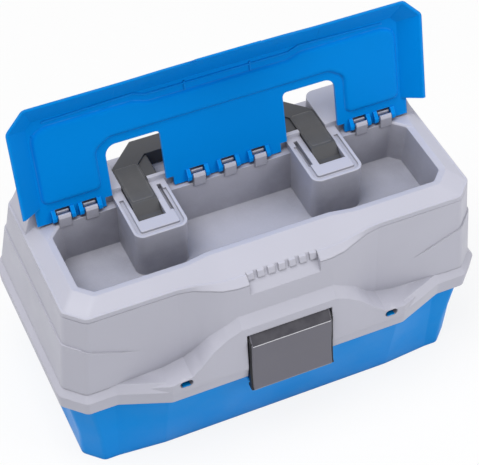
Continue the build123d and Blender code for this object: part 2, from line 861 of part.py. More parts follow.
def make_flip():
    """Return the flip top, modelled closed and then swung open about its hinge."""
    shell = skin([flip_low, flip_high], edge_round)
    shell -= skin([flip_low.inset(flip_thickness), flip_high.inset(flip_thickness, flip_under)])
    # Front rim that follows the dip of the lid's front, with the thumb tab below it
    edge_y = 2 * flip_thickness - flip_high.front
    shell -= block((-lid_swell_outer, lid_swell_outer), (-base_depth, edge_y), (0, above))
    shell += loft([flip_section(x, share) for x, share in wave_places()], ruled=True)
    inner_y = flip_foot_y + flip_thickness - flip_foot_thin
    tip_z = flip_foot_z - flip_tab_drop
    tab = [
        (flip_foot_y + flip_tab_root, flip_foot_z + flip_tab_root),
        (flip_foot_y, flip_foot_z),
        (flip_foot_y - flip_tab_flare, tip_z),
        (inner_y - flip_tab_flare, tip_z),
        (inner_y, flip_foot_z),
    ]
    shell += prism(tab, (-flip_tab_half, flip_tab_half))
    # Panel pressed towards the underside, with a matching recess in the top
    panel = extrude(Plane.XY.offset(flip_under) * make_emboss(), -emboss_height)
    shell += chamfer(panel.faces().sort_by(Axis.Z)[0].edges(), emboss_height * 0.9)
    hollow = offset(make_emboss(), -emboss_height, kind=Kind.INTERSECTION)
    shell -= extrude(Plane.XY.offset(flip_top) * hollow, -emboss_height)
    # Hinge edge, set back beside the windows for the towers
    shell -= block(full_width, (flip_axis_y + flip_tail, base_depth), (0, above))
    shell -= block(full_width, (flip_rim_back, base_depth), (0, flip_under))
    set_back = (tower_inner - flip_tail_gap, tower_outer + flip_tail_gap)
    shell -= both(block(set_back, (flip_axis_y - flip_edge_gap, base_depth), (0, above)))
    window_xs = (tower_inner - window_gap, tower_outer + window_gap)
    window = block(window_xs, (tower_front - window_gap, base_depth), (0, above))
    inner, outer = window.edges().filter_by(Axis.Z).sort_by(Axis.Y)[:2].sort_by(Axis.X)
    window = fillet(outer, window_round)
    inner = window.edges().filter_by(Axis.Z).sort_by(Axis.X)[0:2].sort_by(Axis.Y)[0]
    shell -= both(fillet(inner, window_inner_round))
    # Bars between lugs, one for each clip
    y, z = flip_axis_y, flip_axis_z
    flat, corner = 0.4 * flip_overhang, 0.9 * flip_overhang
    root = y - clip_radius - clip_slot
    lug = [
        (root, flip_top),
        (root, z),
        (y - flat, z - corner),
        (y + flat, z - corner),
        (y + corner, z - flat),
        (y + corner, z + flat),
        (y + flat, flip_top),
    ]
    half = clip_width / 2 + clip_gap
    for x in clip_positions:
        shell -= block((x - half, x + half), (root, base_depth), (0, above))
        shell += prism(lug, (x - half - clip_lug, x - half)) + prism(lug, (x + half, x + half + clip_lug))
        shell += rod(clip_bar_radius, y, z, (x - half, x + half))
    return shell.rotate(Axis((0, y, z), (1, 0, 0)), -flip_open_angle)


def make_handle():
    """Return the folded handle: two arms on round knuckles, joined by a crossbar."""
    inner_back = handle_back - crossbar_width
    right = [
        (arm_inner, knuckle_back),
        (arm_outer, knuckle_back),
        (arm_outer, handle_back - handle_corner),
        (arm_outer - handle_corner, handle_back),
    ]
    inside = [(arm_inner - handle_inner_corner, inner_back), (arm_inner, inner_back - handle_inner_corner)]
    left = [(-x, y) for x, y in reversed(right)]
    inside_left = [(-x, y) for x, y in reversed(inside)]
    ring = Polyline(*right, *left, *inside_left, *inside, close=True)
    bail = extrude(Plane.XY.offset(handle_bottom) * make_face(ring), arm_thickness)
    xs = (arm_inner, arm_outer)
    root_back = knuckle_back + handle_root
    root = [
        (handle_pivot_y, handle_pivot_z - handle_knuckle),
        (root_back, handle_bottom),
        (root_back, handle_top),
        (knuckle_back, handle_top),
        (handle_pivot_y, handle_pivot_z + handle_knuckle),
    ]
    bail += both(rod(handle_knuckle, handle_pivot_y, handle_pivot_z, xs) + prism(root, xs))
    # Shallow panels in the tops of the arms
    panel_xs = (arm_inner + panel_margin, arm_outer - panel_margin)
    panel_ys = (knuckle_back + panel_margin, handle_back - handle_corner - panel_margin)
    bail -= both(block(panel_xs, panel_ys, (handle_top - panel_sink, above)))
    return bail - both(rod(handle_pin_radius + pin_gap, handle_pivot_y, handle_pivot_z, xs))


def make_latch():
    """Return the latch, closed: a dished face with a bevelled head, a flared lip and an inner bead."""
    y, z = latch_pivot_y, latch_pivot_z
    bead_y = catch_y - catch_reach - fit_gap
    lip_z = catch_z - catch_height - latch_lip_drop
    face_low = (bead_y - latch_lip_reach + latch_lip_lean, lip_z + latch_lip_height)
    face_middle = ((y - latch_face + face_low[0]) / 2 + latch_dish, (z + face_low[1]) / 2)
    back_y = -(skirt.front + skirt.swell) + latch_lip_lean
    profile = [
        (y + latch_bevel, z + latch_head),
        (y - latch_face, z),
        face_middle,
        face_low,
        (bead_y - latch_lip_reach, lip_z + latch_lip_lean),
        (bead_y - latch_lip_reach + latch_web, lip_z),
        (bead_y, lip_z + latch_web / 2),
        (bead_y, lip_z + latch_bead_height),
        (bead_y - latch_lip_lean, lip_z + latch_bead_height + latch_web),
        (back_y, base_height + latch_web),
        (y - latch_bevel, z - latch_head),
        (y + latch_barrel, z),
    ]
    xs = (-latch_half_width, latch_half_width)
    latch = prism(profile, xs) + rod(latch_barrel, y, z, xs)
    return latch - rod(latch_pin_radius + pin_gap, y, z, xs)


def make_tray():
    """Return the tray with divider guides, pivot holes and its own walls."""
    depth = tray_front + tray_back
    middle = (tray_back - tray_front) / 2
    plan = Pos(0, middle) * RectangleRounded(2 * tray_half_length, depth, tray_corner)
    tray = extrude(Plane.XY.offset(tray_bottom) * plan, tray_height)
    hollow = Pos(0, middle) * RectangleRounded(
        2 * (tray_half_length - tray_wall), depth - 2 * tray_wall, tray_corner - tray_wall
    )
    tray -= extrude(Plane.XY.offset(tray_bottom + tray_wall) * hollow, tray_height)
    guide_zs = (tray_bottom + tray_wall / 2, tray_bottom + tray_height - divider_drop)
    near = (tray_wall / 2 - tray_front, tray_wall + guide_rib - tray_front)
    far = (tray_back - tray_wall - guide_rib, tray_back - tray_wall / 2)
    reach = divider_thickness / 2 + fit_gap
    for x in divider_positions:
        for xs in ((x - reach - guide_rib, x - reach), (x + reach, x + reach + guide_rib)):
            tray += block(xs, near, guide_zs) + block(xs, far, guide_zs)
    hole_xs = (tray_half_length - 2 * tray_wall, tray_half_length + tray_wall)
    hole = rod(rivet_radius + pin_gap, tray_pin_y, tray_pin_z, hole_xs)
    hole += rod(rivet_radius, guide_pin_y, guide_pin_z, hole_xs)
    return tray - both(hole)


def make_divider(x):
    """Return one divider, standing between its guides."""
    return block(
        (x - divider_thickness / 2, x + divider_thickness / 2),
        (tray_wall + fit_gap - tray_front, tray_back - tray_wall - fit_gap),
        (tray_bottom + tray_wall, tray_bottom + tray_height - divider_drop),
    )


def make_link():
    """Return the right link, from the tub's pivot to the tray's guide pivot."""
    xs = (link_in, link_out)
    span = sqrt(crank_reach**2 + crank_rise**2)
    across_y = crank_rise / span * link_width / 2
    across_z = crank_reach / span * link_width / 2
    bar = prism(
        [
            (link_pivot_y - across_y, link_pivot_z - across_z),
            (guide_pin_y - across_y, guide_pin_z - across_z),
            (guide_pin_y + across_y, guide_pin_z + across_z),
            (link_pivot_y + across_y, link_pivot_z + across_z),
        ],
        xs,
    )
    bar += rod(link_width / 2, link_pivot_y, link_pivot_z, xs)
    bar += rod(link_width / 2, guide_pin_y, guide_pin_z, xs)
    bar -= rod(rivet_radius + pin_gap, link_pivot_y, link_pivot_z, xs)
    return bar - rod(rivet_radius + guide_gap, guide_pin_y, guide_pin_z, xs)


def make_rivets():
    """Return the right side's pivots: link on tub, tray on lid, and link on tray."""
    seat = between(kink, rim, link_pivot_z).half_length - wall / 2 - wall
    on_tub = rod(rivet_radius, link_pivot_y, link_pivot_z, (link_in - fit_gap, seat))
    head = (link_in - fit_gap - rivet_head_height, link_in - fit_gap)
    on_tub += rod(rivet_head, link_pivot_y, link_pivot_z, head)
    inner_face = tray_half_length - tray_wall - fit_gap
    seat = between(lid_foot, lid_head, tray_pin_z).half_length - wall / 2 - wall
    on_lid = rod(rivet_radius, tray_pin_y, tray_pin_z, (inner_face, seat))
    on_lid += rod(rivet_head, tray_pin_y, tray_pin_z, (inner_face - rivet_head_height, inner_face))
    outer_face = link_out + fit_gap
    on_tray = rod(rivet_radius, guide_pin_y, guide_pin_z, (tray_half_length - tray_wall, outer_face))
    on_tray += rod(rivet_head, guide_pin_y, guide_pin_z, (outer_face, outer_face + rivet_head_height))
    return on_tub, on_lid, on_tray


os.makedirs("parts", exist_ok=True)
save("base_tub", make_tub())
save("lid_shell", add_hinges(make_lid()))
save("flip_lid", make_flip())
save("handle", make_handle())
save("latch", make_latch())
save("tray", make_tray())
for number, place in enumerate(divider_positions, 1):
    save(f"tray_divider_{number}", make_divider(place))

save("latch_pin", rod(latch_pin_radius, latch_pivot_y, latch_pivot_z, (-latch_pin_end, latch_pin_end)))
hinge_reach = hinge_lug / 2 + hinge_gap + hinge_ear
on_tub, on_lid, on_tray = make_rivets()
pairs = {
    "hinge_pin": rod(hinge_pin_radius, hinge_y, hinge_z, (hinge_x - hinge_reach, hinge_x + hinge_reach)),
    "handle_pin": rod(handle_pin_radius, handle_pivot_y, handle_pivot_z, handle_pin_xs),
    "tray_link": make_link(),
    "link_rivet": on_tub,
    "tray_pin": on_lid,
    "guide_rivet": on_tray,
}
for name, piece in pairs.items():
    save(f"{name}_right", piece)
    save(f"{name}_left", mirror(piece, Plane.YZ))
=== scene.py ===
"""Looks of the tackle box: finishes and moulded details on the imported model, in a plain studio.

The frame is the model's own, in metres: the origin is the centre of the tub's underside, +X runs along
the length, +Y to the back and +Z up. The classes of the box hold their sizes in millimetres and scale
them where they make points. The finishes and the studio are in metres.
"""
import logging
from collections.abc import Sequence
from dataclasses import dataclass
from enum import Enum
from math import atan2, cos, pi, radians, sin, tan

import bpy
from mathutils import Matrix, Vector


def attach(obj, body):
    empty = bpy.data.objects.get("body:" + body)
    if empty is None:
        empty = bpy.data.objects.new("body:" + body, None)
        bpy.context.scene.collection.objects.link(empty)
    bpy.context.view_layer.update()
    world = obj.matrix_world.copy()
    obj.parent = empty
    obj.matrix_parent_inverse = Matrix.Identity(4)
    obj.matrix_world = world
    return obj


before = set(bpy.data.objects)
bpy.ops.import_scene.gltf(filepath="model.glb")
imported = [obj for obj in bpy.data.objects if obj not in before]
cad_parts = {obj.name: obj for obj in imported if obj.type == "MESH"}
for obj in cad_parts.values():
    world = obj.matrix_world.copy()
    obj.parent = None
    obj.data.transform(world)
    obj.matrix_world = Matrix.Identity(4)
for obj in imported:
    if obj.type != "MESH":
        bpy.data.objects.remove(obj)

Pair = tuple[float, float]
Path = Sequence[Pair]
Place = tuple[float, float, float]
Shape = tuple[list, list]
Colour = tuple[float, float, float]
Rgba = tuple[float, float, float, float]
Tree = bpy.types.NodeTree
Node = bpy.types.Node
Socket = bpy.types.NodeSocket

log = logging.getLogger("tackle_box")
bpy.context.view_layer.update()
MM = 0.001
SIDES = ("left", "right")
SIGNS = (-1.0, 1.0)
WHITE: Rgba = (1.0, 1.0, 1.0, 1.0)

# The curve from sRGB to linear light
SRGB_KNEE = 0.04045
SRGB_SLOPE = 12.92
SRGB_OFFSET = 0.055
SRGB_POWER = 2.4

# Least cosine that a corner's mitre is worked out with, so that a sharp corner stays short
MITRE_LEAST = 0.5
ARC_STEPS = 6
BEAD_SIDES = 8


class Slot(Enum):
    """Material slots of the record."""

    BLUE_TUB = "blue_tub"
    BLUE_FLIP = "blue_flip"
    GREY_LID = "grey_lid"
    DARK_GRIP = "dark_grip"
    DARK_LATCH = "dark_latch"
    TRAY_PLASTIC = "tray_plastic"
    LINK_PLASTIC = "link_plastic"
    STEEL = "steel"


class Coat(Enum):
    """Finishes of the box, each named for what wears it."""

    TUB = "tub_blue"
    FLIP = "flip_blue"
    LID = "lid_grey"
    GRIP = "grip_dark"
    LATCH_FACE = "latch_face_dark"
    # The latch body, painted near black as the shade in the gaps at its sides
    LATCH_FRAME = "latch_frame_painted_shade"
    # A light bead on the latch: painted highlight
    LATCH_EDGE = "latch_edge_painted_highlight"
    # The latch's brow, painted dark as the shade under the lid
    LATCH_BROW = "latch_brow_painted_shade"
    TRAY = "tray_grey"
    LINK = "link_dark"
    PIN = "pin_steel"


class Effect(Enum):
    """Surface effects that several finishes share."""

    GRAIN = "moulded_grain"
    DRIFT = "tone_drift"
    # Lighter outer edges: partly wear, partly painted highlight
    EDGE = "edge_wear_and_highlight"
    # Darker inner corners and hollows: painted shade
    RECESS = "recess_painted_shade"


@dataclass(frozen=True)
class Finish:
    """One moulded or drawn finish.

    Attributes:
        slot: The record's slot that it belongs to; not used.
        colour: Base colour in sRGB, 0 to 1.
        roughness: Middle roughness of the surface.
        specular: Strength of the plain reflection.
        tint: Colour of the plain reflection, linear.
        gloss_spread: How far the roughness wanders either way.
        grain_scale: Grains per metre.
        grain_height: Height of the grain.
        drift: Share of the second tone that the slow colour drift reaches.
        wear_and_highlight: Share of the lighter tone along outer edges, partly wear and partly painted
            highlight.
        painted_shade: Share of the darker tone painted into corners and hollows as shade.
        reach: Distance over which a corner darkens.
        softness: Radius over which edges look rounded.
        metallic: Metallic value of the base.
    """

    slot: Slot
    colour: Colour
    roughness: float
    specular: float = 0.35
    tint: Colour = (1.0, 1.0, 1.0)
    gloss_spread: float = 0.08
    grain_scale: float = 1400.0
    grain_height: float = 0.00006
    drift: float = 0.2
    wear_and_highlight: float = 0.3
    painted_shade: float = 0.35
    reach: float = 0.012
    softness: float = 0.0012
    metallic: float = 0.0


BLUE_SHINE: Colour = (0.03, 0.42, 0.9)
FINISHES: dict[Coat, Finish] = {
    Coat.TUB: Finish(Slot.BLUE_TUB, (0.0, 0.555, 0.89), 0.42, 0.12, BLUE_SHINE, wear_and_highlight=0.15),
    Coat.FLIP: Finish(
        Slot.BLUE_FLIP, (0.0, 0.535, 0.89), 0.40, 0.15, BLUE_SHINE,
        drift=0.12, wear_and_highlight=0.1, painted_shade=0.5, reach=0.006, softness=0.0004,
    ),
    # The lid's painted shade reaches far and darkens its deep compartments
    Coat.LID: Finish(Slot.GREY_LID, (0.735, 0.735, 0.785), 0.46, painted_shade=0.55, reach=0.08),
    Coat.GRIP: Finish(Slot.DARK_GRIP, (0.29, 0.29, 0.30), 0.45, wear_and_highlight=0.2, painted_shade=0.6),
    Coat.LATCH_FACE: Finish(
        Slot.DARK_LATCH, (0.425, 0.42, 0.46), 0.38, wear_and_highlight=0.2, softness=0.0006,
    ),
    # Near black: painted shade for the gaps beside the latch
    Coat.LATCH_FRAME: Finish(Slot.DARK_LATCH, (0.09, 0.09, 0.11), 0.55, wear_and_highlight=0.05),
    # Darker than the face: painted shade under the lid's roof
    Coat.LATCH_BROW: Finish(
        Slot.DARK_LATCH, (0.26, 0.255, 0.285), 0.45, 0.2, wear_and_highlight=0.1, softness=0.0003,
    ),
    # Light grey on a dark latch: painted highlight along the bevel
    Coat.LATCH_EDGE: Finish(
        Slot.DARK_LATCH, (0.80, 0.80, 0.82), 0.35, wear_and_highlight=0.1, softness=0.0002,
    ),
    Coat.TRAY: Finish(Slot.TRAY_PLASTIC, (0.70, 0.70, 0.74), 0.48),
    Coat.LINK: Finish(Slot.LINK_PLASTIC, (0.30, 0.30, 0.31), 0.46, wear_and_highlight=0.2),
    Coat.PIN: Finish(
        Slot.STEEL, (0.62, 0.62, 0.62), 0.32, grain_scale=2600.0, wear_and_highlight=0.1, metallic=1.0,
    ),
}


@dataclass(frozen=True)
class Pattern:
    """One noise that breaks up a surface.

    Attributes:
        scale: Waves per metre.
        detail: Number of octaves.
        band: Values of the noise that become 0 and 1.
    """

    scale: float
    detail: float
    band: Pair


def linear(colour: Colour) -> Rgba:
    """Return an sRGB colour as linear light with full alpha.

    Args:
        colour: Red, green and blue from 0 to 1.

    Returns:
        The linear colour that shader sockets take.
    """
    parts = [
        c / SRGB_SLOPE if c <= SRGB_KNEE else ((c + SRGB_OFFSET) / (1.0 + SRGB_OFFSET)) ** SRGB_POWER
        for c in colour
    ]
    return (parts[0], parts[1], parts[2], 1.0)


def mixed(colour: Colour, grey: float, share: float) -> Colour:
    """Return a colour moved towards a grey level by a share.

    Args:
        colour: The starting colour.
        grey: The grey level to move towards.
        share: How far to move, 0 to 1.

    Returns:
        The mixed colour.
    """
    return tuple(c + (grey - c) * share for c in colour)


class EffectShop:
    """Builds each shared effect once, as a shader node group, and hands it out.

    Attributes:
        GRAIN_DETAIL: Number of octaves of the fine grain.
        GLOSS: Patches of duller and shinier surface.
        DRIFT: Slow drift of tone.
        BREAKS: Breaks in the lighter edges of wear and painted highlight.
        SHADE_PATCHES: Uneven spread of the painted shade.
        EDGE_WIDTH: Width of the lighter band of wear and painted highlight along edges.
        EDGE_BAND: Openness inside the form that counts as flat and as a fully lightened edge.
        RECESS_BAND: Openness outside the form that counts as unshaded and as fully shaded.
        SHADE_SAMPLES: Rays that measure how open a place is.
    """

    GRAIN_DETAIL = 2.0
    GLOSS = Pattern(38.0, 3.0, (0.3, 0.7))
    DRIFT = Pattern(9.0, 2.0, (0.3, 0.7))
    BREAKS = Pattern(120.0, 3.0, (0.25, 0.6))
    SHADE_PATCHES = Pattern(90.0, 4.0, (-1.0, 0.6))
    EDGE_WIDTH = 0.001
    EDGE_BAND = (0.92, 0.55)
    RECESS_BAND = (0.7, 0.15)
    SHADE_SAMPLES = 8

    def __init__(self) -> None:
        """Start with no groups built."""
        self._built: dict[Effect, Tree] = {}

    def group(self, effect: Effect) -> Tree:
        """Return the node group of an effect, built on first use.

        Args:
            effect: The effect wanted.

        Returns:
            Its shader node group.
        """
        if effect not in self._built:
            makers = {
                Effect.GRAIN: self._grain,
                Effect.DRIFT: self._drift,
                Effect.EDGE: self._edge,
                Effect.RECESS: self._recess,
            }
            self._built[effect] = makers[effect](effect.value)
        return self._built[effect]

    @staticmethod
    def _tree(
        name: str, inputs: dict[str, float], outputs: tuple[str, ...]
    ) -> tuple[Tree, Node, Node]:
        """Return an empty group with its sockets and end nodes.

        Args:
            name: Name of the group.
            inputs: Input names with their default values.
            outputs: Output names.

        Returns:
            The tree, its input node and its output node.
        """
        tree = bpy.data.node_groups.new(name, "ShaderNodeTree")
        kind = "NodeSocketFloat"
        for label, value in inputs.items():
            socket = tree.interface.new_socket(label, in_out="INPUT", socket_type=kind)
            socket.default_value = value
        for label in outputs:
            tree.interface.new_socket(label, in_out="OUTPUT", socket_type=kind)
        return tree, tree.nodes.new("NodeGroupInput"), tree.nodes.new("NodeGroupOutput")

    @staticmethod
    def _noise(tree: Tree, detail: float, scale: Socket | float) -> Socket:
        """Return a noise over object coordinates.

        Args:
            tree: The group to add to.
            detail: Number of octaves.
            scale: Waves per metre, as a number or a value socket.

        Returns:
            The noise's value socket.
        """
        place = tree.nodes.new("ShaderNodeTexCoord")
        noise = tree.nodes.new("ShaderNodeTexNoise")
        noise.inputs["Detail"].default_value = detail
        if isinstance(scale, float):
            noise.inputs["Scale"].default_value = scale
        else:
            tree.links.new(scale, noise.inputs["Scale"])
        tree.links.new(place.outputs["Object"], noise.inputs["Vector"])
        return noise.outputs["Fac"]

    @staticmethod
    def _spread(tree: Tree, value: Socket, band: Pair) -> Socket:
        """Return a value stretched from a band to 0 to 1.

        Args:
            tree: The group to add to.
            value: The value socket to stretch.
            band: Values that become 0 and 1.

        Returns:
            The stretched value's socket.
        """
        spread = tree.nodes.new("ShaderNodeMapRange")
        spread.inputs["From Min"].default_value = band[0]
        spread.inputs["From Max"].default_value = band[1]
        tree.links.new(value, spread.inputs["Value"])
        return spread.outputs["Result"]

    def _patches(self, tree: Tree, pattern: Pattern, scale: Socket | None = None) -> Socket:
        """Return a noise stretched to 0 to 1.

        Args:
            tree: The group to add to.
            pattern: The noise to use.
            scale: Value socket that takes the place of the pattern's own scale.

        Returns:
            The stretched value's socket.
        """
        noise = self._noise(tree, pattern.detail, pattern.scale if scale is None else scale)
        return self._spread(tree, noise, pattern.band)

    def _corners(self, tree: Tree, distance: Socket, band: Pair, inside: bool) -> Socket:
        """Return how near a place is to a corner of the form.

        Args:
            tree: The group to add to.
            distance: Value socket of how far to look.
            band: Openness that becomes 0 and 1.
            inside: Whether to look into the form for outer edges, or out of it for hollows.

        Returns:
            The value's socket.
        """
        shade = tree.nodes.new("ShaderNodeAmbientOcclusion")
        shade.inside = inside
        shade.only_local = inside
        shade.samples = self.SHADE_SAMPLES
        tree.links.new(distance, shade.inputs["Distance"])
        return self._spread(tree, shade.outputs["AO"], band)

    @staticmethod
    def _product(tree: Tree, one: Socket, other: Socket) -> Socket:
        """Return the product of two values.

        Args:
            tree: The group to add to.
            one: First value socket.
            other: Second value socket.

        Returns:
            The product's socket.
        """
        product = tree.nodes.new("ShaderNodeMath")
        product.operation = "MULTIPLY"
        tree.links.new(one, product.inputs[0])
        tree.links.new(other, product.inputs[1])
        return product.outputs["Value"]

    def _grain(self, name: str) -> Tree:
        """Return the fine moulded grain, with its height and its patchy gloss.

        Args:
            name: Name of the group.

        Returns:
            The node group.
        """
        tree, entry, end = self._tree(name, {"Scale": Finish.grain_scale}, ("Height", "Gloss"))
        height = self._noise(tree, self.GRAIN_DETAIL, entry.outputs["Scale"])
        tree.links.new(height, end.inputs["Height"])
        tree.links.new(self._patches(tree, self.GLOSS), end.inputs["Gloss"])
        return tree

    def _drift(self, name: str) -> Tree:
        """Return the slow drift of tone over a moulding.

        Args:
            name: Name of the group.

        Returns:
            The node group.
        """
        tree, entry, end = self._tree(name, {"Scale": self.DRIFT.scale}, ("Mask",))
        slow = self._patches(tree, self.DRIFT, entry.outputs["Scale"])
        tree.links.new(slow, end.inputs["Mask"])
        return tree

    def _edge(self, name: str) -> Tree:
        """Return the lighter tone along outer edges, partly wear and partly painted highlight, broken
        up by noise.

        Args:
            name: Name of the group.

        Returns:
            The node group.
        """
        tree, entry, end = self._tree(name, {"Width": self.EDGE_WIDTH}, ("Mask",))
        edges = self._corners(tree, entry.outputs["Width"], self.EDGE_BAND, inside=True)
        # Lighter edges, partly wear and partly painted highlight, broken up by noise
        wear_and_highlight = self._product(tree, edges, self._patches(tree, self.BREAKS))
        tree.links.new(wear_and_highlight, end.inputs["Mask"])
        return tree

    def _recess(self, name: str) -> Tree:
        """Return the painted shade that darkens inner corners and hollows.

        Args:
            name: Name of the group.

        Returns:
            The node group.
        """
        tree, entry, end = self._tree(name, {"Reach": Finish.reach}, ("Mask",))
        hollows = self._corners(tree, entry.outputs["Reach"], self.RECESS_BAND, inside=False)
        # Painted shade in hollows, broken up by noise
        painted_shade = self._product(tree, hollows, self._patches(tree, self.SHADE_PATCHES))
        tree.links.new(painted_shade, end.inputs["Mask"])
        return tree


class FinishShop:
    """Makes one material for each finish from the shared effects.

    Attributes:
        DRIFT_TONE: Grey level, and share of it, in the second tone of the drift.
        WEAR_AND_HIGHLIGHT_TONE: Grey level, and share of it, in the lighter tone of edges, partly wear
            and partly painted highlight.
        PAINTED_SHADE_TONE: Grey level, and share of it, in the darker tone painted into corners as
            shade.
        BEVEL_SAMPLES: Rays that soften the look of an edge.
    """

    DRIFT_TONE = (0.18, 0.22)
    WEAR_AND_HIGHLIGHT_TONE = (0.95, 0.5)
    PAINTED_SHADE_TONE = (0.0, 0.7)
    BEVEL_SAMPLES = 6

    def __init__(self, effects: EffectShop) -> None:
        """Keep the shared effects.

        Args:
            effects: Where the node groups come from.
        """
        self._effects = effects
        self._made: dict[Coat, bpy.types.Material] = {}

    def material(self, coat: Coat) -> bpy.types.Material:
        """Return the material of a finish, made on first use.

        Args:
            coat: The finish wanted.

        Returns:
            The material.
        """
        if coat not in self._made:
            self._made[coat] = self._make(coat.value, FINISHES[coat])
        return self._made[coat]

    def _place(self, tree: Tree, effect: Effect, **values: float) -> Node:
        """Return a node that holds a shared effect with this material's values.

        Args:
            tree: The material's node tree.
            effect: The effect to place.
            **values: Input values by socket name.

        Returns:
            The group node.
        """
        node = tree.nodes.new("ShaderNodeGroup")
        node.node_tree = self._effects.group(effect)
        for label, value in values.items():
            node.inputs[label].default_value = value
        return node

    @staticmethod
    def _mix(tree: Tree, below: Socket | Rgba, over: Rgba, mask: Socket, share: float) -> Socket:
        """Return a colour with a second colour laid over it where a mask says.

        Args:
            tree: The material's node tree.
            below: Colour socket, or a linear colour, that lies below.
            over: Linear colour laid over it.
            mask: Value socket that says where.
            share: Largest share of the colour laid over.

        Returns:
            The mixed colour's socket.
        """
        amount = tree.nodes.new("ShaderNodeMath")
        amount.operation = "MULTIPLY"
        amount.inputs[1].default_value = share
        tree.links.new(mask, amount.inputs[0])
        mix = tree.nodes.new("ShaderNodeMix")
        mix.data_type = "RGBA"
        tree.links.new(amount.outputs["Value"], mix.inputs["Factor"])
        if isinstance(below, tuple):
            mix.inputs["A"].default_value = below
        else:
            tree.links.new(below, mix.inputs["A"])
        mix.inputs["B"].default_value = over
        return mix.outputs["Result"]

    def _colour(self, tree: Tree, finish: Finish) -> Socket:
        """Return the base colour with its drift, its lighter edges of wear and painted highlight, and
        its painted shade in hollows.

        Args:
            tree: The material's node tree.
            finish: The finish to make.

        Returns:
            The colour's socket.
        """
        layers = (
            (self._place(tree, Effect.DRIFT), self.DRIFT_TONE, finish.drift),
            (self._place(tree, Effect.EDGE), self.WEAR_AND_HIGHLIGHT_TONE, finish.wear_and_highlight),
            (self._place(tree, Effect.RECESS, Reach=finish.reach), self.PAINTED_SHADE_TONE, finish.painted_shade),
        )
        colour = linear(finish.colour)
        for effect, tone, share in layers:
            over = linear(mixed(finish.colour, *tone))
            colour = self._mix(tree, colour, over, effect.outputs["Mask"], share)
        return colour

    @staticmethod
    def _roughness(tree: Tree, finish: Finish, gloss: Socket) -> Socket:
        """Return the roughness, which wanders with the patches of gloss.

        Args:
            tree: The material's node tree.
            finish: The finish to make.
            gloss: Value socket of the patches.

        Returns:
            The roughness's socket.
        """
        rough = tree.nodes.new("ShaderNodeMapRange")
        rough.inputs["To Min"].default_value = finish.roughness - finish.gloss_spread
        rough.inputs["To Max"].default_value = finish.roughness + finish.gloss_spread
        tree.links.new(gloss, rough.inputs["Value"])
        return rough.outputs["Result"]

    def _normal(self, tree: Tree, finish: Finish, height: Socket) -> Socket:
        """Return the normal, with softened edges and the fine grain.

        Args:
            tree: The material's node tree.
            finish: The finish to make.
            height: Value socket of the grain.

        Returns:
            The normal's socket.
        """
        soft = tree.nodes.new("ShaderNodeBevel")
        soft.samples = self.BEVEL_SAMPLES
        soft.inputs["Radius"].default_value = finish.softness
        bump = tree.nodes.new("ShaderNodeBump")
        bump.inputs["Distance"].default_value = finish.grain_height
        tree.links.new(height, bump.inputs["Height"])
        tree.links.new(soft.outputs["Normal"], bump.inputs["Normal"])
        return bump.outputs["Normal"]

    def _make(self, name: str, finish: Finish) -> bpy.types.Material:
        """Return a new material for a finish.

        Args:
            name: Name of the material.
            finish: The finish to make.

        Returns:
            The material.
        """
        material = bpy.data.materials.new(name)
        material.use_nodes = True
        tree = material.node_tree
        shader = tree.nodes["Principled BSDF"]
        shader.inputs["Metallic"].default_value = finish.metallic
        shader.inputs["Specular IOR Level"].default_value = finish.specular
        shader.inputs["Specular Tint"].default_value = (*finish.tint, 1.0)
        grain = self._place(tree, Effect.GRAIN, Scale=finish.grain_scale)
        roughness = self._roughness(tree, finish, grain.outputs["Gloss"])
        normal = self._normal(tree, finish, grain.outputs["Height"])
        tree.links.new(self._colour(tree, finish), shader.inputs["Base Color"])
        tree.links.new(roughness, shader.inputs["Roughness"])
        tree.links.new(normal, shader.inputs["Normal"])
        return material


class Smoother:
    """Shades small bends of a moulding smooth and keeps its creases.

    Attributes:
        BEND: Largest bend that is shaded smooth, in degrees.
        WELD: Distance in metres within which points are joined.
    """

    BEND = 17.0
    WELD = 0.00001

    def __init__(self) -> None:
        """Build the node group that marks bends and creases."""
        tree = bpy.data.node_groups.new("soft_bends", "GeometryNodeTree")
        for way in ("INPUT", "OUTPUT"):
            tree.interface.new_socket("Geometry", in_out=way, socket_type="NodeSocketGeometry")
        weld = tree.nodes.new("GeometryNodeMergeByDistance")
        weld.inputs["Distance"].default_value = self.WELD
        faces = tree.nodes.new("GeometryNodeSetShadeSmooth")
        edges = tree.nodes.new("GeometryNodeSetShadeSmooth")
        edges.domain = "EDGE"
        angle = tree.nodes.new("GeometryNodeInputMeshEdgeAngle")
        small = tree.nodes.new("FunctionNodeCompare")
        small.operation = "LESS_EQUAL"
        small.inputs["B"].default_value = radians(self.BEND)
        tree.links.new(angle.outputs["Unsigned Angle"], small.inputs["A"])
        tree.links.new(small.outputs["Result"], edges.inputs["Shade Smooth"])
        entry = tree.nodes.new("NodeGroupInput")
        end = tree.nodes.new("NodeGroupOutput")
        chain = (entry, weld, faces, edges, end)
        for before, after in zip(chain, chain[1:]):
            tree.links.new(before.outputs["Geometry"], after.inputs["Geometry"])
        self._tree = tree

    def apply(self, piece: bpy.types.Object) -> None:
        """Add the smoothing to a piece, with flat faces kept flat.

        Args:
            piece: The object to smooth.
        """
        bends = piece.modifiers.new("soft_bends", "NODES")
        bends.node_group = self._tree
        flats = piece.modifiers.new("flat_faces", "WEIGHTED_NORMAL")
        flats.keep_sharp = True


def placed(name: str, data: bpy.types.ID) -> bpy.types.Object:
    """Return a new object in the scene.

    Args:
        name: Name of the object.
        data: Its mesh, lamp or camera.

    Returns:
        The object.
    """
    thing = bpy.data.objects.new(name, data)
    bpy.context.scene.collection.objects.link(thing)
    return thing


